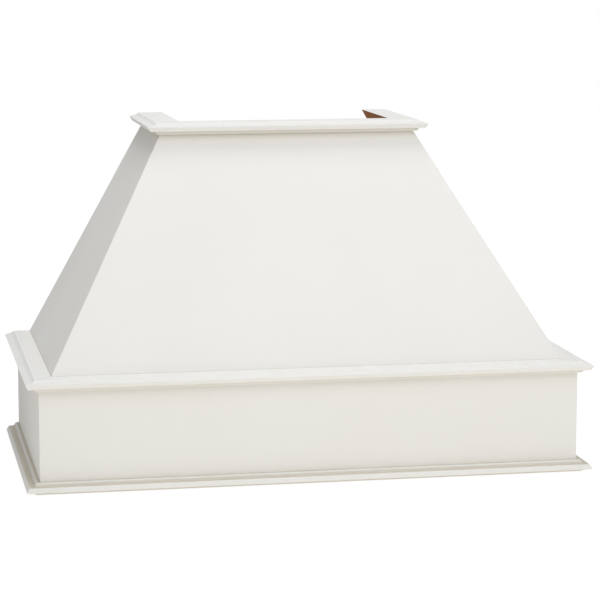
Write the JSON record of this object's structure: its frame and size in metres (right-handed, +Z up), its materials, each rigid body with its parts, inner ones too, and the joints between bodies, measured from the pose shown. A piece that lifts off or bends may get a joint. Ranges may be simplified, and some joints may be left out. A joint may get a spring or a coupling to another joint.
{
  "type": "wooden range hood cover",
  "caption": "Painted wooden cover for a wall-mounted cooker hood: a straight apron with a stepped moulding at foot and shelf, under a chimney that tapers to a moulded open top.",
  "frame": {"origin": "middle of the cover's box, on the plane of its lower edge", "axes": "+Z up; +X along the width, to the right of a viewer who faces the front; the front faces -Y and the wall is on the +Y side"},
  "size_m": [0.8, 0.426, 0.489],
  "materials": {
    "painted_wood": "off-white paint, satin, over smooth wood",
    "bare_wood": "bare brown wood, matt, fine straight grain",
    "screw_steel": "zinc plated, cross recessed heads"
  },
  "bodies": {
    "root": {"apron_front": "painted_wood", "apron_left": "painted_wood", "apron_right": "painted_wood", "chimney_front": "painted_wood", "chimney_left": "painted_wood", "chimney_right": "painted_wood", "base_moulding_front": "painted_wood", "base_moulding_left": "painted_wood", "base_moulding_right": "painted_wood", "shelf_moulding_front": "painted_wood", "shelf_moulding_left": "painted_wood", "shelf_moulding_right": "painted_wood", "top_moulding_front": "painted_wood", "top_moulding_left": "painted_wood", "top_moulding_right": "painted_wood", "deck_front": "bare_wood", "deck_left": "bare_wood", "deck_right": "bare_wood", "foot_cleat_front": "bare_wood", "foot_cleat_left": "bare_wood", "foot_cleat_right": "bare_wood", "chimney_corner_batten_left": "bare_wood", "chimney_corner_batten_right": "bare_wood", "apron_corner_block_left": "bare_wood", "apron_corner_block_right": "bare_wood", "lower_wall_rail": "bare_wood", "upper_wall_rail": "bare_wood", "lower_rail_block_left": "bare_wood", "lower_rail_block_right": "bare_wood", "upper_rail_block_left": "bare_wood", "upper_rail_block_right": "bare_wood", "liner_cleat_front": "bare_wood", "liner_cleat_rear": "bare_wood", "liner_cleat_left": "bare_wood", "liner_cleat_right": "bare_wood", "foot_cleat_screws": "screw_steel", "liner_cleat_screws": "screw_steel"}
  },
  "joints": []
}
